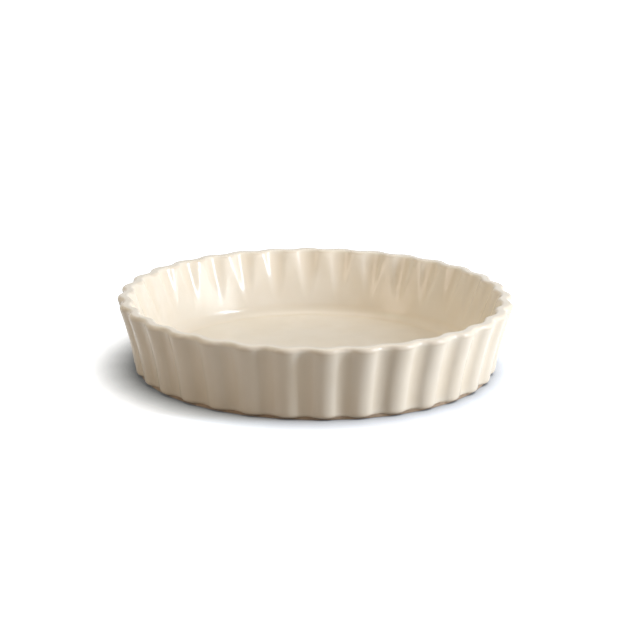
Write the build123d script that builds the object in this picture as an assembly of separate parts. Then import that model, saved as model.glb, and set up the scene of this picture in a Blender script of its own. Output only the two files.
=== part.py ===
from build123d import *
import os
from math import atan2, cos, hypot, pi, sin, sqrt

# Outside of the dish, measured over the glaze
outer_diameter = 280
dish_height = 52.5
flute_count = 32
flute_depth = 3.4

# Lean of the walls, as radius gained over height
foot_slope = 0.13
rim_slope = 0.34
inside_slope = 0.288

# Wall and floor, measured over the glaze
rim_thickness = 8.9
rim_round = 3.3
base_round = 2.8
floor_thickness = 6.6
cove_radius = 9.5

# Inner flutes, whole near the rim, which run out in the smooth lower wall
inner_flute_depth = 3
whole_flute_drop = 5.5
flute_fade_height = 24

# Underside, where only the foot ring is bare clay
foot_height = 1.4
foot_inset = 3
foot_width = 14.5
foot_round = 0.5
foot_lap = 0.25
recess_depth = 2.2
recess_round = 1.2
recess_glaze_edge = 0.7

# Glaze
glaze_thickness = 0.4
glaze_edge_height = 2.1

# Extra length of a cutting shape past the face that it cuts
cutter_overrun = 6

# Cross-sections that the curved wall passes through
wall_sections = 5

# Heights and radii that follow from the sizes
rim_level = dish_height - rim_round
smooth_wall_height = dish_height - whole_flute_drop
flute_tip_height = smooth_wall_height - flute_fade_height
inner_flute_slope = inside_slope + inner_flute_depth / flute_fade_height


def outside_radius(level):
    """Radius of the outer ridges at a height, on a wall that flares towards the rim."""
    drop = rim_level - level
    flare = (rim_slope - foot_slope) * drop ** 2 / (2 * rim_level)
    return outer_diameter / 2 - rim_slope * drop + flare


def inner_flute_radius(level):
    """Radius of the inner flutes at their deepest line at a height."""
    at_rim = outside_radius(rim_level) - rim_thickness
    return at_rim + inner_flute_slope * (level - rim_level)


def smooth_radius(level):
    """Radius of the smooth inner wall, which meets the inner flutes near the rim."""
    meeting = inner_flute_radius(smooth_wall_height) - inner_flute_depth
    return meeting + inside_slope * (level - smooth_wall_height)


foot_radius = outside_radius(0) - foot_inset


def fluted_face(ridge_radius, depth, inset, level):
    """Face bounded by tangent arcs, ridges and valleys in turn, drawn in by an inset."""
    half_pitch = pi / flute_count
    valley_radius = ridge_radius - depth
    # one bend radius serves ridge and valley, so that their arcs meet in a tangent
    turn = 2 * (1 - cos(half_pitch))
    linear = (4 - turn) * depth
    constant = depth ** 2 + turn * ridge_radius * valley_radius
    bend = (sqrt(linear ** 2 + 4 * turn * constant) - linear) / (2 * turn)
    ridge_center = ridge_radius - bend
    valley_center = valley_radius + bend
    share = (bend - inset) / (2 * bend)
    join_x = ridge_center + (valley_center * cos(half_pitch) - ridge_center) * share
    join_y = valley_center * sin(half_pitch) * share
    join_radius = hypot(join_x, join_y)
    join_angle = atan2(join_y, join_x)

    def point(radius, angle):
        return (radius * cos(angle), radius * sin(angle), level)

    edges = []
    for flute in range(flute_count):
        ridge = 2 * half_pitch * flute
        valley = ridge + half_pitch
        start = point(join_radius, ridge - join_angle)
        crest = point(ridge_radius - inset, ridge)
        middle = point(join_radius, ridge + join_angle)
        hollow = point(valley_radius - inset, valley)
        end = point(join_radius, ridge + 2 * half_pitch - join_angle)
        edges.append(ThreePointArc(start, crest, middle))
        edges.append(ThreePointArc(middle, hollow, end))
    return Face(Wire(edges))


def hollow_shape(skin):
    """Inside of the dish, made smaller by a skin of glaze on the clay."""
    floor = floor_thickness - glaze_thickness + skin
    root = flute_tip_height - cutter_overrun
    top = dish_height + cutter_overrun
    inset = skin - glaze_thickness
    draw_in = inset * sqrt(1 + inside_slope ** 2)
    bowl = Pos(0, 0, floor) * Cone(
        smooth_radius(floor) - draw_in,
        smooth_radius(top) - draw_in,
        top - floor,
        align=(Align.CENTER, Align.CENTER, Align.MIN),
    )
    corner = bowl.faces().sort_by(Axis.Z)[0].edges()
    bowl = fillet(corner, cove_radius - inset)
    flute_ends = [
        fluted_face(inner_flute_radius(level), inner_flute_depth, inset, level)
        for level in (root, top)
    ]
    return bowl + loft(flute_ends, ruled=True)


def dish_shape(skin):
    """Dish with its rounded rim and base edge, the clay covered by a skin of glaze."""
    inset = glaze_thickness - skin
    bottom = foot_height + inset
    rise = (dish_height - inset - bottom) / (wall_sections - 1)
    sections = []
    for section in range(wall_sections):
        level = bottom + rise * section
        sections.append(fluted_face(outside_radius(level), flute_depth, inset, level))
    dish = loft(sections) - hollow_shape(skin)
    rim_edges = dish.faces().filter_by(Axis.Z).sort_by(Axis.Z)[-1].edges()
    dish = fillet(rim_edges, rim_round - inset)
    base_edges = dish.faces().filter_by(Axis.Z).sort_by(Axis.Z)[0].edges()
    return fillet(base_edges, base_round - inset)


def foot_shape():
    """Round foot that the fluted body stands on."""
    foot = Cylinder(
        foot_radius,
        foot_height + glaze_thickness + foot_lap,
        align=(Align.CENTER, Align.CENTER, Align.MIN),
    )
    lower_edge = foot.faces().sort_by(Axis.Z)[0].edges()
    return fillet(lower_edge, foot_round)


def recess_shape(skin):
    """Shallow hollow inside the foot ring, made smaller by a skin of glaze."""
    hollow = Pos(0, 0, recess_depth - skin) * Cylinder(
        foot_radius - foot_width - skin,
        recess_depth - skin + cutter_overrun,
        align=(Align.CENTER, Align.CENTER, Align.MAX),
    )
    ceiling_edge = hollow.faces().sort_by(Axis.Z)[-1].edges()
    return fillet(ceiling_edge, recess_round - skin)


def above(level):
    """Block that holds everything over a height."""
    width = outer_diameter + 2 * cutter_overrun
    return Pos(0, 0, level) * Box(
        width,
        width,
        dish_height + cutter_overrun,
        align=(Align.CENTER, Align.CENTER, Align.MIN),
    )


bare_dish = dish_shape(0)
clay_body = bare_dish + foot_shape() - recess_shape(0)
glaze_coat = (dish_shape(glaze_thickness) - bare_dish) & above(glaze_edge_height)
underside_glaze = (recess_shape(0) - recess_shape(glaze_thickness)) & above(recess_glaze_edge)

os.makedirs("parts", exist_ok=True)
export_step(clay_body, "parts/clay_body.step")
export_step(glaze_coat, "parts/glaze_coat.step")
export_step(underside_glaze, "parts/underside_glaze.step")
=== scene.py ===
"""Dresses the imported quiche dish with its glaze, its bare foot ring and a pale studio."""

import logging
import math
from dataclasses import dataclass, field
from enum import Enum

import bpy
import numpy as np
from mathutils import Matrix, Vector

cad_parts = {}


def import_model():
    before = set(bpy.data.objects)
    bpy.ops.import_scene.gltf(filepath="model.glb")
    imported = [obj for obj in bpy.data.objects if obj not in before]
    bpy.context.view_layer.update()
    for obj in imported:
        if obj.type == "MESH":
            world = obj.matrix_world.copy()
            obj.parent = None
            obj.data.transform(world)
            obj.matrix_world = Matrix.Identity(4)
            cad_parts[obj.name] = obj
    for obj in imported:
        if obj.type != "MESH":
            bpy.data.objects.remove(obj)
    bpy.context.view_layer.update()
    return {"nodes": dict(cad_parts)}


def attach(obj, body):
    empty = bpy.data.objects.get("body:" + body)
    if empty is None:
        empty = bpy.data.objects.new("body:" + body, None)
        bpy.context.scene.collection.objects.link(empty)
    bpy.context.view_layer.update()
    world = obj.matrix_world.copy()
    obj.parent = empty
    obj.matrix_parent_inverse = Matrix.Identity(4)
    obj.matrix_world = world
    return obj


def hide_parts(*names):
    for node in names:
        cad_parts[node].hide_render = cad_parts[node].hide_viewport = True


log = logging.getLogger("quiche_dish")

Colour = tuple[float, float, float]
Socket = bpy.types.NodeSocket

PHOTO_WIDTH = 630
SENSOR_WIDTH = 36.0
BLACK: Colour = (0.0, 0.0, 0.0)
WHITE: Colour = (1.0, 1.0, 1.0)


class Joining(Enum):
    """Way in which a node joins two values."""

    PRODUCT = "MULTIPLY"
    GREATER = "MAXIMUM"


class Side(Enum):
    """Side of the dish's wall: 1 where the clay lies inwards of it, -1 where it lies outwards."""

    OUTER = 1
    INNER = -1


# Shader helpers


@dataclass(frozen=True)
class Mottle:
    """Cloudy change over a surface.

    Attributes:
        size: width of one cloud, in metres.
        detail: how many finer layers lie on it.
        low: noise, from 0 to 1, that gives the first result.
        high: noise that gives the last result.
        first: result where the noise is low.
        last: result where the noise is high.
    """

    size: float
    detail: float
    low: float
    high: float
    first: float = 0.0
    last: float = 1.0


@dataclass(frozen=True)
class Relief:
    """Small bumps in a surface.

    Attributes:
        size: width of one bump, in metres.
        detail: how many finer layers lie on it.
        height: height of the bumps, in metres.
        strength: share of the bumps that is felt.
    """

    size: float
    detail: float
    height: float
    strength: float = 1.0


@dataclass
class NodeSheet:
    """Sheet of nodes that makes up one material or the surroundings.

    Attributes:
        tree: node tree that is filled.
    """

    tree: bpy.types.NodeTree

    def add(self, kind: str, **sockets: float) -> bpy.types.Node:
        """Adds a node and sets its input sockets by name.

        Args:
            kind: Blender's identifier of the node type.
            **sockets: values for input sockets, with underscores for blanks.

        Returns:
            The new node.
        """
        node = self.tree.nodes.new(kind)
        for name, value in sockets.items():
            node.inputs[name.replace("_", " ")].default_value = value
        return node

    def link(self, source: Socket, target: Socket) -> None:
        """Links an output socket to an input socket."""
        self.tree.links.new(source, target)

    def place(self) -> Socket:
        """Returns the point on the piece in metres."""
        return self.add("ShaderNodeTexCoord").outputs["Object"]

    def noise(self, place: Socket, size: float, detail: float) -> Socket:
        """Adds a cloudy noise.

        Args:
            place: socket that gives the point.
            size: width of one cloud, in metres.
            detail: how many finer layers lie on it.

        Returns:
            The socket with values round one half.
        """
        node = self.add("ShaderNodeTexNoise", Scale=1 / size, Detail=detail)
        self.link(place, node.inputs["Vector"])
        return node.outputs["Fac"]

    def spread(
        self, value: Socket, low: float, high: float, first: float = 0.0, last: float = 1.0
    ) -> Socket:
        """Maps a range of values onto another and clamps it.

        Args:
            value: socket to map.
            low: value that becomes first.
            high: value that becomes last.
            first: result at one end.
            last: result at the other end.

        Returns:
            The mapped socket.
        """
        node = self.add("ShaderNodeMapRange", From_Min=low, From_Max=high, To_Min=first, To_Max=last)
        self.link(value, node.inputs["Value"])
        return node.outputs["Result"]

    def mottle(self, place: Socket, clouds: Mottle) -> Socket:
        """Adds a cloudy change over the surface.

        Args:
            place: socket that gives the point.
            clouds: size and reach of the change.

        Returns:
            The socket with the result.
        """
        noise = self.noise(place, clouds.size, clouds.detail)
        return self.spread(noise, clouds.low, clouds.high, clouds.first, clouds.last)

    def relief(self, place: Socket, bumps: Relief, under: Socket | None = None) -> Socket:
        """Adds small bumps.

        Args:
            place: socket that gives the point.
            bumps: size and height of the bumps.
            under: socket with the relief that they lie on, if there is one.

        Returns:
            The socket with the way that the bumpy surface faces.
        """
        node = self.add("ShaderNodeBump", Strength=bumps.strength, Distance=bumps.height)
        self.link(self.noise(place, bumps.size, bumps.detail), node.inputs["Height"])
        if under is not None:
            self.link(under, node.inputs["Normal"])
        return node.outputs["Normal"]

    def join(self, joining: Joining, first: Socket, second: Socket) -> Socket:
        """Joins two values into one.

        Args:
            joining: how they are joined.
            first: socket with one value.
            second: socket with the other value.

        Returns:
            The socket with the result.
        """
        node = self.add("ShaderNodeMath")
        node.operation = joining.value
        self.link(first, node.inputs[0])
        self.link(second, node.inputs[1])
        return node.outputs["Value"]

    def blend(self, share: Socket, first: Colour | Socket, second: Colour | Socket) -> Socket:
        """Blends two colours.

        Args:
            share: socket with the share of the second colour.
            first: colour, or socket with one.
            second: colour, or socket with one.

        Returns:
            The socket with the blended colour.
        """
        node = self.add("ShaderNodeMix")
        node.data_type = "RGBA"
        self.link(share, node.inputs["Factor"])
        for name, value in (("A", first), ("B", second)):
            socket = next(s for s in node.inputs if s.name == name and s.type == "RGBA")
            if isinstance(value, bpy.types.NodeSocket):
                self.link(value, socket)
            else:
                socket.default_value = (*value, 1.0)
        return next(s for s in node.outputs if s.type == "RGBA")

    def seen_rays(self) -> Socket:
        """Marks the rays that show the background: camera, glossy and transmission rays.

        Returns:
            A socket that is 1 for such a ray and 0 for light on the dish.
        """
        path = self.add("ShaderNodeLightPath")
        seen = path.outputs["Is Camera Ray"]
        for name in ("Is Glossy Ray", "Is Transmission Ray"):
            seen = self.join(Joining.GREATER, seen, path.outputs[name])
        return seen

    def finish(self, shader: Socket) -> None:
        """Ends a material with its shader."""
        self.link(shader, self.add("ShaderNodeOutputMaterial").inputs["Surface"])


def new_material(name: str) -> bpy.types.Material:
    """Makes an empty node material.

    Args:
        name: name of the material.

    Returns:
        The material, its node tree cleared.
    """
    material = bpy.data.materials.new(name)
    material.use_nodes = True
    material.node_tree.nodes.clear()
    return material


# Finishes


@dataclass(frozen=True)
class CreamGlaze:
    """Glossy cream glaze that pools in hollows and runs thinner over ridges.

    Attributes:
        name: name of the material.
        body: colour of the glaze at its usual thickness.
        pooled: colour where it lies thick.
        thin: colour where it is drawn thin over a ridge.
        broken: colour where it breaks over the rim's edges and the clay shows through.
        speck: colour of the few small specks in the glaze.
        usual: value of the pooling attribute at the glaze's usual thickness.
        break_below: value of the pooling attribute under which the glaze breaks.
        break_share: share of the broken colour on the sharpest edge.
        clouds: cloudy change towards the pooled colour.
        roughness: cloudy change of the glassy face's roughness.
        refraction: refractive index of the glaze.
        gloss: strength of its reflections, where one half is that of bare glass.
        ripple: slow ripple in the glassy face.
        peel: fine dimpling in it.
        speck_spacing: distance from one speck to the next, in metres.
        speck_core: radius of a speck's dark middle, as a share of the spacing.
        speck_rim: radius of the whole speck, as a share of the spacing.
        speck_share: share of the speck colour in its middle.
        speck_patches: patches that have specks.
    """

    name: str = "cream_glaze"
    body: Colour = (0.825, 0.745, 0.618)
    pooled: Colour = (0.780, 0.675, 0.520)
    thin: Colour = (0.830, 0.750, 0.625)
    broken: Colour = (0.700, 0.585, 0.445)
    speck: Colour = (0.52, 0.42, 0.30)
    usual: float = 0.5
    break_below: float = 0.08
    break_share: float = 0.35
    clouds: Mottle = Mottle(size=0.030, detail=3.0, low=0.40, high=0.62, last=0.35)
    roughness: Mottle = Mottle(size=0.012, detail=4.0, low=0.35, high=0.65, first=0.16, last=0.23)
    refraction: float = 1.50
    gloss: float = 0.3
    ripple: Relief = Relief(size=0.028, detail=1.0, height=0.00008)
    peel: Relief = Relief(size=0.0011, detail=2.0, height=0.000004)
    speck_spacing: float = 0.0075
    speck_core: float = 0.018
    speck_rim: float = 0.040
    speck_share: float = 0.30
    speck_patches: Mottle = Mottle(size=0.022, detail=2.0, low=0.52, high=0.60)

    def material(self) -> bpy.types.Material:
        """Makes the glaze as a node material.

        Returns:
            The material.
        """
        material = new_material(self.name)
        sheet = NodeSheet(material.node_tree)
        place = sheet.place()
        shader = sheet.add("ShaderNodeBsdfPrincipled", IOR=self.refraction, Specular_IOR_Level=self.gloss)
        colour = self.thickness_colour(sheet)
        colour = sheet.blend(sheet.mottle(place, self.clouds), colour, self.pooled)
        colour = sheet.blend(self.specks(sheet, place), colour, self.speck)
        sheet.link(colour, shader.inputs["Base Color"])
        sheet.link(sheet.mottle(place, self.roughness), shader.inputs["Roughness"])
        slow = sheet.relief(place, self.ripple)
        sheet.link(sheet.relief(place, self.peel, slow), shader.inputs["Normal"])
        sheet.finish(shader.outputs["BSDF"])
        return material

    def thickness_colour(self, sheet: NodeSheet) -> Socket:
        """Colours the glaze by how thick it lies.

        Args:
            sheet: sheet of the material.

        Returns:
            The socket with the colour.
        """
        pooling = sheet.add("ShaderNodeAttribute")
        pooling.attribute_name = "pooling"
        level = pooling.outputs["Fac"]
        thick = sheet.spread(level, self.usual, 1.0)
        drawn = sheet.spread(level, self.usual, 0.0)
        edges = sheet.spread(level, self.break_below, 0.0, 0.0, self.break_share)
        colour = sheet.blend(thick, self.body, self.pooled)
        colour = sheet.blend(drawn, colour, self.thin)
        return sheet.blend(edges, colour, self.broken)

    def specks(self, sheet: NodeSheet, place: Socket) -> Socket:
        """Adds a few small faint specks.

        Args:
            sheet: sheet of the material.
            place: socket that gives the point.

        Returns:
            The socket with the share of the speck colour.
        """
        cells = sheet.add("ShaderNodeTexVoronoi", Scale=1 / self.speck_spacing)
        sheet.link(place, cells.inputs["Vector"])
        distance = cells.outputs["Distance"]
        spot = sheet.spread(distance, self.speck_core, self.speck_rim, self.speck_share, 0.0)
        return sheet.join(Joining.PRODUCT, spot, sheet.mottle(place, self.speck_patches))


@dataclass(frozen=True)
class FiredClay:
    """Bare fired clay of the foot ring, buff and gritty, with darker kiln marks.

    Attributes:
        name: name of the material.
        light: colour of the dry clay.
        dark: colour of its kiln marks.
        grit: colour of its coarse grains.
        marks: places of the kiln marks.
        grains: places of the coarse grains.
        roughness: roughness of the bare clay.
        refraction: refractive index of the clay.
        grain: grain that can be felt.
    """

    name: str = "fired_clay"
    light: Colour = (0.42, 0.315, 0.225)
    dark: Colour = (0.28, 0.205, 0.145)
    grit: Colour = (0.55, 0.43, 0.31)
    marks: Mottle = Mottle(size=0.018, detail=5.0, low=0.42, high=0.66, last=0.8)
    grains: Mottle = Mottle(size=0.0006, detail=3.0, low=0.56, high=0.68, last=0.7)
    roughness: float = 0.88
    refraction: float = 1.45
    grain: Relief = Relief(size=0.0008, detail=5.0, height=0.00012, strength=0.8)

    def material(self) -> bpy.types.Material:
        """Makes the clay as a node material.

        Returns:
            The material.
        """
        material = new_material(self.name)
        sheet = NodeSheet(material.node_tree)
        place = sheet.place()
        shader = sheet.add("ShaderNodeBsdfPrincipled", Roughness=self.roughness, IOR=self.refraction)
        colour = sheet.blend(sheet.mottle(place, self.marks), self.light, self.dark)
        colour = sheet.blend(sheet.mottle(place, self.grains), colour, self.grit)
        sheet.link(colour, shader.inputs["Base Color"])
        sheet.link(sheet.relief(place, self.grain), shader.inputs["Normal"])
        sheet.finish(shader.outputs["BSDF"])
        return material


@dataclass(frozen=True)
class PaleFloor:
    """Matt floor that looks white and keeps the dish's shadow.

    Attributes:
        name: name of the material.
        thrown: colour that the floor throws back on the dish.
        seen: colour that the camera and reflections see.
        lift: light that the camera and reflections see added to it.
        contact_reach: how far from the dish its close shadow reaches, in metres.
        contact_open: share of open sky at which the close shadow is darkest.
        contact_floor: share of the light that is left in the close shadow.
        light_from: direction that the close shadow falls away from.
        near: distance from the dish's axis at which the added light starts to grow, in metres.
        far: distance at which the floor is as white as the surroundings, in metres.
    """

    name: str = "pale_floor"
    thrown: Colour = (0.34, 0.32, 0.29)
    seen: Colour = (0.84, 0.89, 0.96)
    lift: float = 0.70
    contact_reach: float = 0.036
    contact_open: float = 0.30
    contact_floor: float = 0.10
    light_from: tuple[float, float, float] = (0.30, -0.08, 0.95)
    near: float = 0.45
    far: float = 1.6

    def material(self) -> bpy.types.Material:
        """Makes the floor as a node material.

        Returns:
            The material.
        """
        material = new_material(self.name)
        sheet = NodeSheet(material.node_tree)
        seen = sheet.seen_rays()
        contact = self.close_shadow(sheet)
        matt = sheet.add("ShaderNodeBsdfDiffuse")
        shaded = sheet.blend(contact, BLACK, self.seen)
        sheet.link(sheet.blend(seen, self.thrown, shaded), matt.inputs["Color"])
        glow = sheet.add("ShaderNodeEmission")
        sheet.link(sheet.blend(contact, BLACK, WHITE), glow.inputs["Color"])
        reach = sheet.add("ShaderNodeVectorMath")
        reach.operation = "LENGTH"
        sheet.link(sheet.place(), reach.inputs[0])
        lift = sheet.spread(reach.outputs["Value"], self.near, self.far, self.lift, 1.0)
        sheet.link(sheet.join(Joining.PRODUCT, seen, lift), glow.inputs["Strength"])
        both = sheet.add("ShaderNodeAddShader")
        sheet.link(matt.outputs["BSDF"], both.inputs[0])
        sheet.link(glow.outputs["Emission"], both.inputs[1])
        sheet.finish(both.outputs["Shader"])
        return material

    def close_shadow(self, sheet: NodeSheet) -> Socket:
        """Darkens the floor close to the dish, on the side away from the light.

        Args:
            sheet: sheet of the material.

        Returns:
            The socket with the share of the light that is left.
        """
        x, y, z = self.light_from
        lean = sheet.add("ShaderNodeCombineXYZ", X=x, Y=y, Z=z)
        sky = sheet.add("ShaderNodeAmbientOcclusion", Distance=self.contact_reach)
        sheet.link(lean.outputs["Vector"], sky.inputs["Normal"])
        return sheet.spread(sky.outputs["AO"], self.contact_open, 1.0, self.contact_floor, 1.0)


# Mesh helpers


def put_in_scene(name: str, data: bpy.types.ID) -> bpy.types.Object:
    """Puts a mesh, lamp or camera in the scene.

    Args:
        name: name of the new object.
        data: the mesh, lamp or camera.

    Returns:
        The new object.
    """
    thing = bpy.data.objects.new(name, data)
    bpy.context.scene.collection.objects.link(thing)
    return thing


def read_points(mesh: bpy.types.Mesh) -> tuple[np.ndarray, np.ndarray]:
    """Reads the points of a mesh and the way that it faces there.

    Args:
        mesh: mesh to read.

    Returns:
        Two arrays of x, y and z, one row a point.
    """
    place = np.zeros(len(mesh.vertices) * 3)
    mesh.vertices.foreach_get("co", place)
    normal = np.zeros(len(mesh.vertices) * 3)
    mesh.vertex_normals.foreach_get("vector", normal)
    return place.reshape(-1, 3), normal.reshape(-1, 3)


# The dish


@dataclass(frozen=True)
class FluteLine:
    """Closed line of tangent arcs round a wall, ridges and valleys in turn.

    Attributes:
        depth: radius from ridge to valley, in metres.
        count: number of flutes.
        steps: points on each arc.
    """

    depth: float
    count: int = 32
    steps: int = 13

    def points(self, ridge_radius: float, inset: float = 0.0) -> np.ndarray:
        """Gives the points of a line that runs parallel to the fluted one.

        Args:
            ridge_radius: radius of the fluted line at its ridges, in metres.
            inset: distance inwards from the fluted line, in metres.

        Returns:
            An array of x and y, one row a point.
        """
        half = math.pi / self.count
        valley_radius = ridge_radius - self.depth
        # one bend radius serves ridge and valley, so that their arcs meet in a tangent
        turn = 2 * (1 - math.cos(half))
        linear = (4 - turn) * self.depth
        constant = self.depth ** 2 + turn * ridge_radius * valley_radius
        bend = (math.sqrt(linear ** 2 + 4 * turn * constant) - linear) / (2 * turn)
        ridge_center = ridge_radius - bend
        valley_center = valley_radius + bend
        swing = math.atan2(
            valley_center * math.sin(half),
            valley_center * math.cos(half) - ridge_center,
        )
        share = np.arange(self.steps) / self.steps
        ridge = 2 * half * np.arange(self.count)[:, None]
        valley = ridge + half
        out = ridge + swing * (2 * share - 1)
        back = valley + math.pi + (swing - half) * (1 - 2 * share)
        arcs = []
        for center, radius, base, turned in (
            (ridge_center, bend - inset, ridge, out),
            (valley_center, bend + inset, valley, back),
        ):
            x = center * np.cos(base) + radius * np.cos(turned)
            y = center * np.sin(base) + radius * np.sin(turned)
            arcs.append(np.stack([x, y], axis=-1))
        return np.concatenate(arcs, axis=1).reshape(-1, 2)


@dataclass(frozen=True)
class DishSizes:
    """Sizes of the dish over its glaze, in metres.

    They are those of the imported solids, apart from a tighter rounding of the rim.

    Attributes:
        outer_diameter: width over the ridges at the rim.
        height: height of the dish.
        foot_slope: radius that the outside gains over height at the foot.
        rim_slope: radius that the outside gains over height at the rim.
        inside_slope: radius that the smooth inner wall gains over height.
        rim_thickness: thickness of the wall at the rim's ridges.
        gauge_drop: how far below the brim the width of the dish and the wall are measured.
        rim_round: rounding of the glazed rim's two edges.
        base_round: rounding of the wall's lower edge.
        floor_thickness: height of the inside floor.
        cove_radius: rounding between floor and wall.
        whole_flute_drop: how far below the brim the inner flutes are whole.
        flute_fade_height: height over which the inner flutes run out.
        foot_height: height of the foot under the wall.
        glaze_thickness: thickness of the glaze.
        glaze_edge_height: height of the glaze's lower edge.
        outer_flutes: line of the outer flutes.
        inner_flutes: line of the inner flutes.
    """

    outer_diameter: float = 0.280
    height: float = 0.0525
    foot_slope: float = 0.13
    rim_slope: float = 0.34
    inside_slope: float = 0.288
    rim_thickness: float = 0.0089
    gauge_drop: float = 0.0033
    rim_round: float = 0.0026
    base_round: float = 0.0028
    floor_thickness: float = 0.0066
    cove_radius: float = 0.0095
    whole_flute_drop: float = 0.0055
    flute_fade_height: float = 0.024
    foot_height: float = 0.0014
    glaze_thickness: float = 0.0004
    glaze_edge_height: float = 0.0021
    outer_flutes: FluteLine = FluteLine(depth=0.0034)
    inner_flutes: FluteLine = FluteLine(depth=0.003)

    @property
    def rim_level(self) -> float:
        """Height at which the width of the dish and the wall are measured."""
        return self.height - self.gauge_drop

    @property
    def rim_center(self) -> float:
        """Height of the centre of the rim's rounding."""
        return self.height - self.rim_round

    @property
    def inner_flute_slope(self) -> float:
        """Radius that the inner flutes gain over height."""
        return self.inside_slope + self.inner_flutes.depth / self.flute_fade_height

    @property
    def inside_lean(self) -> float:
        """Angle that the smooth inner wall leans out, in radians."""
        return math.atan(self.inside_slope)

    @property
    def cove_level(self) -> float:
        """Height of the centre of the cove's rounding."""
        return self.floor_thickness + self.cove_radius

    def outside_slope(self, level: float) -> float:
        """Returns the radius that the outside gains over height at a height."""
        return self.rim_slope - (self.rim_slope - self.foot_slope) * (1 - level / self.rim_level)

    def outside_radius(self, level: float) -> float:
        """Gives the radius of the outer ridges.

        Args:
            level: height, in metres.

        Returns:
            The radius at that height, in metres.
        """
        drop = self.rim_level - level
        flare = (self.rim_slope - self.foot_slope) * drop ** 2 / (2 * self.rim_level)
        return self.outer_diameter / 2 - self.rim_slope * drop + flare

    def inner_flute_radius(self, level: float) -> float:
        """Returns the radius of the inner flutes at their deepest line at a height."""
        at_rim = self.outside_radius(self.rim_level) - self.rim_thickness
        return at_rim + self.inner_flute_slope * (level - self.rim_level)

    def smooth_radius(self, level: float) -> float:
        """Gives the radius of the smooth inner wall.

        Args:
            level: height, in metres.

        Returns:
            The radius at that height, in metres.
        """
        meeting_level = self.height - self.whole_flute_drop
        meeting = self.inner_flute_radius(meeting_level) - self.inner_flutes.depth
        return meeting + self.inside_slope * (level - meeting_level)


@dataclass(frozen=True)
class Waver:
    """Slow unevenness of a hand-finished wall.

    Attributes:
        height: height of the unevenness, in metres.
        lift: how far its middle stands out, as a share of its height.
        waves: number of waves that make it up.
        shortest: length of the shortest wave, in metres.
        longest: length of the longest wave, in metres.
        edge_height: how far the wiped lower edge wanders up and down, in metres.
        edge_waves: waves of the lower edge, by their number once round the dish.
    """

    height: float = 0.00005
    lift: float = 1.2
    waves: int = 30
    shortest: float = 0.014
    longest: float = 0.060
    edge_height: float = 0.00015
    edge_waves: tuple[int, ...] = (5, 11, 17, 29, 43)

    def heights(self, place: np.ndarray, draw: np.random.Generator) -> np.ndarray:
        """Gives how far the uneven surface stands out.

        Args:
            place: points on the surface, one row a point.
            draw: source of the random numbers.

        Returns:
            An array of heights in metres, one a point.
        """
        total = np.zeros(len(place))
        for _ in range(self.waves):
            direction = draw.normal(size=3)
            direction /= np.linalg.norm(direction)
            length = draw.uniform(self.shortest, self.longest)
            phase = draw.uniform(0, 2 * math.pi)
            total += np.sin(place @ direction * (2 * math.pi / length) + phase)
        return self.height * (self.lift + total * math.sqrt(2 / self.waves))

    def edge_rises(self, place: np.ndarray, draw: np.random.Generator) -> np.ndarray:
        """Gives how far the lower edge wanders up at each point's side of the dish.

        Args:
            place: points on the surface, one row a point.
            draw: source of the random numbers.

        Returns:
            An array of rises in metres, one a point.
        """
        angle = np.arctan2(place[:, 1], place[:, 0])
        total = np.zeros(len(place))
        for turns in self.edge_waves:
            total += np.sin(turns * angle + draw.uniform(0, 2 * math.pi))
        return self.edge_height * total / len(self.edge_waves)


@dataclass(frozen=True)
class Pooling:
    """How the glaze gathers in hollows and thins over edges before it sets.

    Attributes:
        full_bend: bend of the surface from the thickest glaze to the thinnest, per metre.
        reach: length up to which a mesh edge counts by its length, in metres.
        shortest: length that the shortest mesh edge counts as, in metres.
        rounds: how often each point's bend is evened out with its neighbours'.
    """

    full_bend: float = 160.0
    reach: float = 0.001
    shortest: float = 1e-6
    rounds: int = 6

    def mark(self, mesh: bpy.types.Mesh) -> None:
        """Stores at each point how thick the glaze lies: 1 in a hollow, 0 over an edge.

        Args:
            mesh: mesh of the glaze, which gets the attribute.
        """
        place, normal = read_points(mesh)
        count = len(place)
        ends = np.zeros(len(mesh.edges) * 2, dtype=np.int64)
        mesh.edges.foreach_get("vertices", ends)
        first, second = ends.reshape(-1, 2).T
        along = place[second] - place[first]
        length = np.maximum(np.linalg.norm(along, axis=1), self.shortest)
        edge_bend = np.einsum("ij,ij->i", normal[second] - normal[first], along) / length ** 2
        weight = np.minimum(length, self.reach)
        total = np.zeros(count)
        share = np.zeros(count)
        met = np.zeros(count)
        for end in (first, second):
            np.add.at(total, end, edge_bend * weight)
            np.add.at(share, end, weight)
            np.add.at(met, end, 1)
        bend = total / share
        for _ in range(self.rounds):
            beside = np.zeros(count)
            np.add.at(beside, first, bend[second])
            np.add.at(beside, second, bend[first])
            bend = (bend + beside / met) / 2
        thickness = np.clip(0.5 - bend / self.full_bend, 0.0, 1.0)
        attribute = mesh.attributes.new("pooling", "FLOAT", "POINT")
        attribute.data.foreach_set("value", thickness.astype(np.float32))


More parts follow.
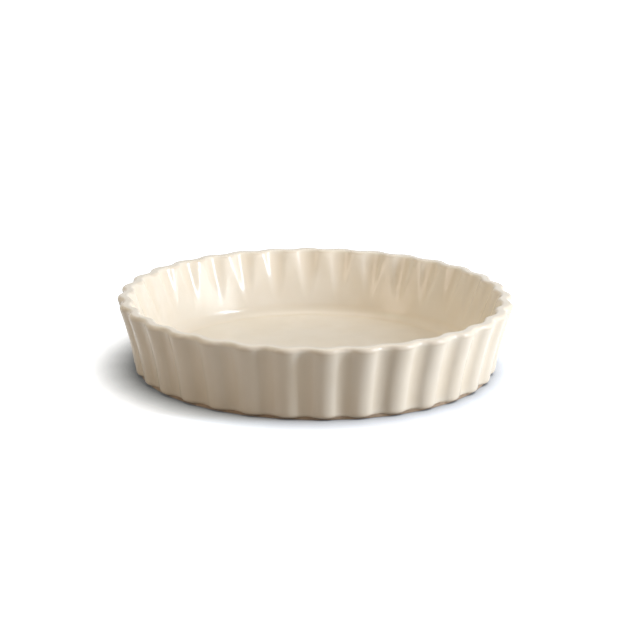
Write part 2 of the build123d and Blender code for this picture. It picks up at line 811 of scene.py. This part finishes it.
@dataclass
class GlazeCoat:
    """One continuous skin of glaze over the outside, the rim and the inside.

    Attributes:
        sizes: sizes of the dish.
        waver: unevenness of the wall and of the lower edge.
        pooling: where the glaze lies thick.
        crease_soften: width over which the edges of the inner flutes are softened, in metres.
        run_down: how far the glaze has run down past the solid's lower edge, in metres.
        bead: rolled lower edge as drops and ways inwards, in shares of the glaze's thickness.
        skin: thickness of the modelled skin, in metres.
        seed: seed of the unevenness.
        base_rings: rings of points round the wall's lower edge.
        wall_rings: rings up the outside, with the one at each end that the next part lays.
        rim_rings: rings over each half of the rim.
        inside_rings: rings down the inner wall, with the rim's last one.
        cove_rings: rings round the cove, with the wall's last one.
        floor_rings: rings over the floor, with the cove's last one.
        floor_middle: smallest ring of the floor, as a share of the largest.
        rows: rings laid so far, from the lower edge over the rim to the floor.
    """

    sizes: DishSizes = DishSizes()
    waver: Waver = Waver()
    pooling: Pooling = Pooling()
    crease_soften: float = 0.0010
    run_down: float = 0.0004
    bead: tuple[tuple[float, float], ...] = ((0.30, 0.85), (0.28, 0.45), (0.14, 0.12))
    skin: float = 0.00034
    seed: int = 11
    base_rings: int = 6
    wall_rings: int = 28
    rim_rings: int = 12
    inside_rings: int = 60
    cove_rings: int = 18
    floor_rings: int = 30
    floor_middle: float = 0.02
    rows: list[np.ndarray] = field(default_factory=list)

    def add_row(self, line: np.ndarray, level: float) -> None:
        """Adds a ring of points at a height."""
        self.rows.append(np.column_stack([line, np.full(len(line), level)]))

    def lay_outside(self) -> None:
        """Adds the rings from the wiped lower edge up the fluted outside."""
        s = self.sizes
        turn_level = s.foot_height + s.base_round
        slope = s.outside_slope(turn_level)
        stretch = math.hypot(1, slope)
        ridge = s.outside_radius(turn_level)
        edge = s.glaze_edge_height - self.run_down
        lowest = math.asin((edge - turn_level) / s.base_round)
        edge_inset = s.base_round * (stretch - math.cos(lowest))
        for drop, inward in self.bead:
            line = s.outer_flutes.points(ridge, edge_inset + inward * s.glaze_thickness)
            self.add_row(line, edge - drop * s.glaze_thickness)
        for turned in np.linspace(lowest, -math.atan(slope), self.base_rings):
            inset = s.base_round * (stretch - math.cos(turned))
            line = s.outer_flutes.points(ridge, inset)
            self.add_row(line, turn_level + s.base_round * math.sin(turned))
        top = s.rim_center - s.rim_round * math.sin(math.atan(s.outside_slope(s.rim_center)))
        for level in np.linspace(self.rows[-1][0, 2], top, self.wall_rings)[1:-1]:
            self.add_row(s.outer_flutes.points(s.outside_radius(level)), level)

    def lay_rim(self) -> None:
        """Adds the rings over the rounded rim, from the outside to the inside."""
        s = self.sizes
        outer_lean = math.atan(s.outside_slope(s.rim_center))
        inner_lean = math.atan(s.inner_flute_slope)
        outer_ridge = s.outside_radius(s.rim_center)
        inner_ridge = s.inner_flute_radius(s.rim_center)
        top = math.pi / 2
        for side, flutes, ridge, lean, start, end in (
            (Side.OUTER, s.outer_flutes, outer_ridge, outer_lean, -outer_lean, top),
            (Side.INNER, s.inner_flutes, inner_ridge, inner_lean, top, math.pi - inner_lean),
        ):
            middle = side.value * s.rim_round / math.cos(lean)
            for turned in np.linspace(start, end, self.rim_rings):
                line = flutes.points(ridge, middle - s.rim_round * math.cos(turned))
                self.add_row(line, s.rim_center + s.rim_round * math.sin(turned))

    def lay_inside(self) -> None:
        """Adds the rings down the inner wall, where the flutes run out in the smooth wall."""
        s = self.sizes
        cove_top = s.cove_level - s.cove_radius * math.sin(s.inside_lean)
        for level in np.linspace(self.rows[-1][0, 2], cove_top, self.inside_rings)[1:]:
            line = s.inner_flutes.points(s.inner_flute_radius(level))
            below_rim = np.clip((s.rim_center - level) / s.gauge_drop, 0.0, 1.0)
            line = self.widened(line, s.smooth_radius(level), self.crease_soften * below_rim)
            self.add_row(line, level)

    def lay_floor(self) -> None:
        """Adds the rings round the cove and over the flat floor."""
        s = self.sizes
        cove_center = s.smooth_radius(s.cove_level) - s.cove_radius / math.cos(s.inside_lean)
        wall = self.rows[-1][:, :2]
        angle = np.arctan2(wall[:, 1], wall[:, 0])
        round_line = np.column_stack([np.cos(angle), np.sin(angle)])
        for turned in np.linspace(-s.inside_lean, -math.pi / 2, self.cove_rings)[1:]:
            radius = cove_center + s.cove_radius * math.cos(turned)
            self.add_row(round_line * radius, s.cove_level + s.cove_radius * math.sin(turned))
        for share in np.linspace(1.0, self.floor_middle, self.floor_rings)[1:]:
            self.add_row(round_line * cove_center * share, s.floor_thickness)

    def widened(self, line: np.ndarray, radius: float, soften: float) -> np.ndarray:
        """Pushes a fluted line out to a round one wherever it lies inside it.

        Args:
            line: x and y of the fluted line.
            radius: radius of the round line.
            soften: width over which the change is softened.

        Returns:
            The line's new x and y.
        """
        reach = np.hypot(line[:, 0], line[:, 1])
        if soften > 0:
            share = np.clip(0.5 + 0.5 * (reach - radius) / soften, 0.0, 1.0)
            wider = radius + (reach - radius) * share + soften * share * (1 - share)
        else:
            wider = np.maximum(reach, radius)
        return line * (wider / reach)[:, None]

    def join_rings(self) -> bpy.types.Mesh:
        """Joins the rings into a mesh, closed over the middle of the floor.

        Returns:
            The mesh.
        """
        grid = np.stack(self.rows)
        rings, around, _ = grid.shape
        middle = [[0.0, 0.0, self.sizes.floor_thickness]]
        points = np.vstack([grid.reshape(-1, 3), middle])
        ring = np.arange(rings - 1)[:, None] * around
        here = np.arange(around)[None, :]
        after = (here + 1) % around
        corners = [ring + here, ring + after, ring + around + after, ring + around + here]
        faces = np.stack(corners, axis=-1).reshape(-1, 4).tolist()
        last = (rings - 1) * around
        faces += [[last + i, last + (i + 1) % around, len(points) - 1] for i in range(around)]
        mesh = bpy.data.meshes.new("glaze_skin")
        mesh.from_pydata(points.tolist(), [], faces)
        mesh.update()
        return mesh

    def make_uneven(self, mesh: bpy.types.Mesh) -> None:
        """Gives the surface the slow unevenness of a hand-finished wall.

        Args:
            mesh: mesh of the glaze, moved along its normals.
        """
        place, normal = read_points(mesh)
        draw = np.random.default_rng(self.seed)
        height = self.waver.heights(place, draw)
        rise = self.waver.edge_rises(place, draw)
        edge = self.sizes.glaze_edge_height
        low = np.clip((2 * edge - place[:, 2]) / edge, 0.0, 1.0)
        outer = np.hypot(place[:, 0], place[:, 1]) > self.sizes.inner_flute_radius(0.0)
        place = place + normal * height[:, None]
        place[:, 2] += np.where(outer, low * rise, 0.0)
        mesh.vertices.foreach_set("co", place.ravel())
        mesh.update()

    def build(self) -> bpy.types.Object:
        """Builds the glaze coat.

        Returns:
            The coat as a closed skin.
        """
        self.rows.clear()
        self.lay_outside()
        self.lay_rim()
        self.lay_inside()
        self.lay_floor()
        mesh = self.join_rings()
        self.make_uneven(mesh)
        self.pooling.mark(mesh)
        mesh.shade_smooth()
        piece = put_in_scene("glaze_skin", mesh)
        shell = piece.modifiers.new("skin", "SOLIDIFY")
        shell.thickness = self.skin
        shell.offset = -1.0
        return piece


@dataclass
class QuicheDish:
    """The dish: clay body with its bare foot ring, glaze coat and glazed hollow of the base.

    Attributes:
        nodes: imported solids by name.
        glaze: finish of the glaze.
        clay: finish of the bare clay.
        coat: glaze coat.
    """

    nodes: dict[str, bpy.types.Object]
    glaze: CreamGlaze = CreamGlaze()
    clay: FiredClay = FiredClay()
    coat: GlazeCoat = field(default_factory=GlazeCoat)

    def dress(self) -> list[bpy.types.Object]:
        """Builds the glaze coat and gives every piece its finish.

        Returns:
            The visible pieces of the dish.
        """
        glaze = self.glaze.material()
        skin = self.coat.build()
        skin.data.materials.append(glaze)
        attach(skin, "root")
        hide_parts("glaze_coat")
        self.finish(self.nodes["clay_body"], self.clay.material())
        self.finish(self.nodes["underside_glaze"], glaze)
        return [self.nodes["clay_body"], skin, self.nodes["underside_glaze"]]

    def finish(self, piece: bpy.types.Object, material: bpy.types.Material) -> None:
        """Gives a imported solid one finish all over.

        Args:
            piece: the solid's object.
            material: its finish.
        """
        if not piece.material_slots:
            piece.data.materials.append(material)
        for slot in piece.material_slots:
            slot.material = material


# The studio


def direction(around: float, rise: float) -> Vector:
    """Gives the direction from the dish to a place in the studio.

    Args:
        around: angle round the dish from the x axis, in radians.
        rise: angle above the floor, in radians.

    Returns:
        A vector of length 1.
    """
    return Vector((
        math.cos(rise) * math.cos(around),
        math.cos(rise) * math.sin(around),
        math.sin(rise),
    ))


@dataclass(frozen=True)
class SoftLamp:
    """Soft rectangular lamp that shines on the dish.

    Attributes:
        name: name of the lamp.
        side: angle round the dish from the camera, to the right, in degrees.
        rise: angle above the floor, in degrees.
        power: power in watts.
        width: width of the lamp, in metres.
        height: height of the lamp, in metres.
        distance: distance from the dish, in metres.
        aim_height: height of the point that it shines on, in metres.
        colour: colour of the light.
    """

    name: str
    side: float
    rise: float
    power: float
    width: float = 0.9
    height: float = 0.9
    distance: float = 1.5
    aim_height: float = 0.02
    colour: Colour = WHITE

    def hang(self, toward_camera: float) -> bpy.types.Object:
        """Hangs the lamp.

        Args:
            toward_camera: angle of the camera round the dish, in radians.

        Returns:
            The lamp's object.
        """
        light = bpy.data.lights.new(self.name, "AREA")
        light.shape = "RECTANGLE"
        light.size = self.width
        light.size_y = self.height
        light.energy = self.power
        light.color = self.colour
        lamp = put_in_scene(self.name, light)
        out = direction(toward_camera + math.radians(self.side), math.radians(self.rise))
        lamp.location = out * self.distance + Vector((0, 0, self.aim_height))
        lamp.rotation_euler = out.to_track_quat("Z", "Y").to_euler()
        return lamp


@dataclass(frozen=True)
class ViewPoint:
    """Camera where the photographer stood.

    Attributes:
        around: angle of the camera round the dish, in degrees.
        rise: angle above the floor, in degrees.
        distance: distance from the dish's middle, in metres.
        middle_height: height of the dish's middle, in metres.
        middle_at: pixel of the photograph where the dish's middle lies.
        focal_pixels: focal length in pixels of the photograph.
        roll: turn of the camera about its line of sight, in degrees.
        clip_start: distance from which the camera sees, in metres.
    """

    around: float = -92.83
    rise: float = 16.00
    distance: float = 1.600
    middle_height: float = 0.025
    middle_at: tuple[float, float] = (315.3, 331.6)
    focal_pixels: float = 2245.0
    roll: float = 0.53
    clip_start: float = 0.05

    def place(self) -> bpy.types.Object:
        """Places the camera and makes it the scene's own.

        Returns:
            The camera's object.
        """
        data = bpy.data.cameras.new("camera")
        data.sensor_width = SENSOR_WIDTH
        data.lens = self.focal_pixels * SENSOR_WIDTH / PHOTO_WIDTH
        data.clip_start = self.clip_start
        camera = put_in_scene("camera", data)
        around = math.radians(self.around)
        back = direction(around, math.radians(self.rise))
        right = Vector((-math.sin(around), math.cos(around), 0))
        up = back.cross(right)
        middle = Vector((0, 0, self.middle_height))
        pixel = self.distance / self.focal_pixels
        half = PHOTO_WIDTH / 2
        across = (half - self.middle_at[0]) * pixel
        above = (self.middle_at[1] - half) * pixel
        aim = middle + right * across + up * above
        camera.location = middle + back * self.distance
        look = (camera.location - aim).to_track_quat("Z", "Y").to_matrix().to_4x4()
        turn = Matrix.Rotation(math.radians(self.roll), 4, "Z")
        camera.rotation_euler = (look @ turn).to_euler()
        bpy.context.scene.camera = camera
        return camera


@dataclass
class Studio:
    """Pale floor, soft lamps, white surroundings and the camera.

    Attributes:
        view: camera.
        lamps: lamps round the dish.
        floor: finish of the floor.
        floor_width: width of the floor, in metres.
        surroundings: strength of the even light from all round.
    """

    view: ViewPoint = ViewPoint()
    lamps: tuple[SoftLamp, ...] = (
        SoftLamp(
            "key_lamp", side=74.0, rise=29.0, power=17.2, width=0.28, height=0.68,
            colour=(0.72, 0.83, 1.0),
        ),
        SoftLamp(
            "low_right", side=80.0, rise=9.0, power=10.3, width=1.1, height=0.4,
            colour=(1.0, 0.98, 0.93),
        ),
        SoftLamp("front_fill", side=40.0, rise=20.0, power=3.6, colour=(1.0, 0.85, 0.72)),
        SoftLamp(
            "left_fill", side=-60.0, rise=24.0, power=6.2, width=0.55, height=0.75,
            colour=(1.0, 0.86, 0.75),
        ),
        SoftLamp(
            "high_left", side=-90.0, rise=58.0, power=2.5, width=0.4, height=0.4,
            colour=(0.85, 1.0, 0.85),
        ),
        SoftLamp("back_lamp", side=180.0, rise=74.0, power=7.6, colour=(1.0, 0.92, 0.87)),
    )
    floor: PaleFloor = PaleFloor()
    floor_width: float = 12.0
    surroundings: float = 0.02

    def set_up(self) -> None:
        """Builds the studio round the dish."""
        self.lay_floor()
        for lamp in self.lamps:
            lamp.hang(math.radians(self.view.around))
        self.view.place()
        self.light_surroundings()
        bpy.context.scene.view_settings.view_transform = "Standard"

    def lay_floor(self) -> bpy.types.Object:
        """Lays the floor that the dish stands on.

        Returns:
            The floor's object.
        """
        half = self.floor_width / 2
        corners = [(-half, -half, 0), (half, -half, 0), (half, half, 0), (-half, half, 0)]
        mesh = bpy.data.meshes.new("floor")
        mesh.from_pydata(corners, [], [(0, 1, 2, 3)])
        mesh.materials.append(self.floor.material())
        ground = put_in_scene("floor", mesh)
        return ground

    def light_surroundings(self) -> None:
        """Makes the surroundings white to the eye and dimmer as light on the dish."""
        world = bpy.data.worlds.new("surroundings")
        bpy.context.scene.world = world
        world.use_nodes = True
        world.node_tree.nodes.clear()
        sheet = NodeSheet(world.node_tree)
        light = sheet.add("ShaderNodeBackground", Strength=self.surroundings)
        white = sheet.add("ShaderNodeBackground")
        for node in (light, white):
            node.inputs["Color"].default_value = (*WHITE, 1.0)
        mix = sheet.add("ShaderNodeMixShader")
        sheet.link(sheet.seen_rays(), mix.inputs["Fac"])
        sheet.link(light.outputs["Background"], mix.inputs[1])
        sheet.link(white.outputs["Background"], mix.inputs[2])
        sheet.link(mix.outputs["Shader"], sheet.add("ShaderNodeOutputWorld").inputs["Surface"])


def main() -> None:
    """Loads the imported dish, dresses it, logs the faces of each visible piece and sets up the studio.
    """
    logging.basicConfig(level=logging.INFO, format="%(name)s: %(message)s")
    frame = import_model()
    for piece in QuicheDish(frame["nodes"]).dress():
        log.info("%s: %d faces", piece.name, len(piece.data.polygons))
    Studio().set_up()


if __name__ == "__main__":
    main()
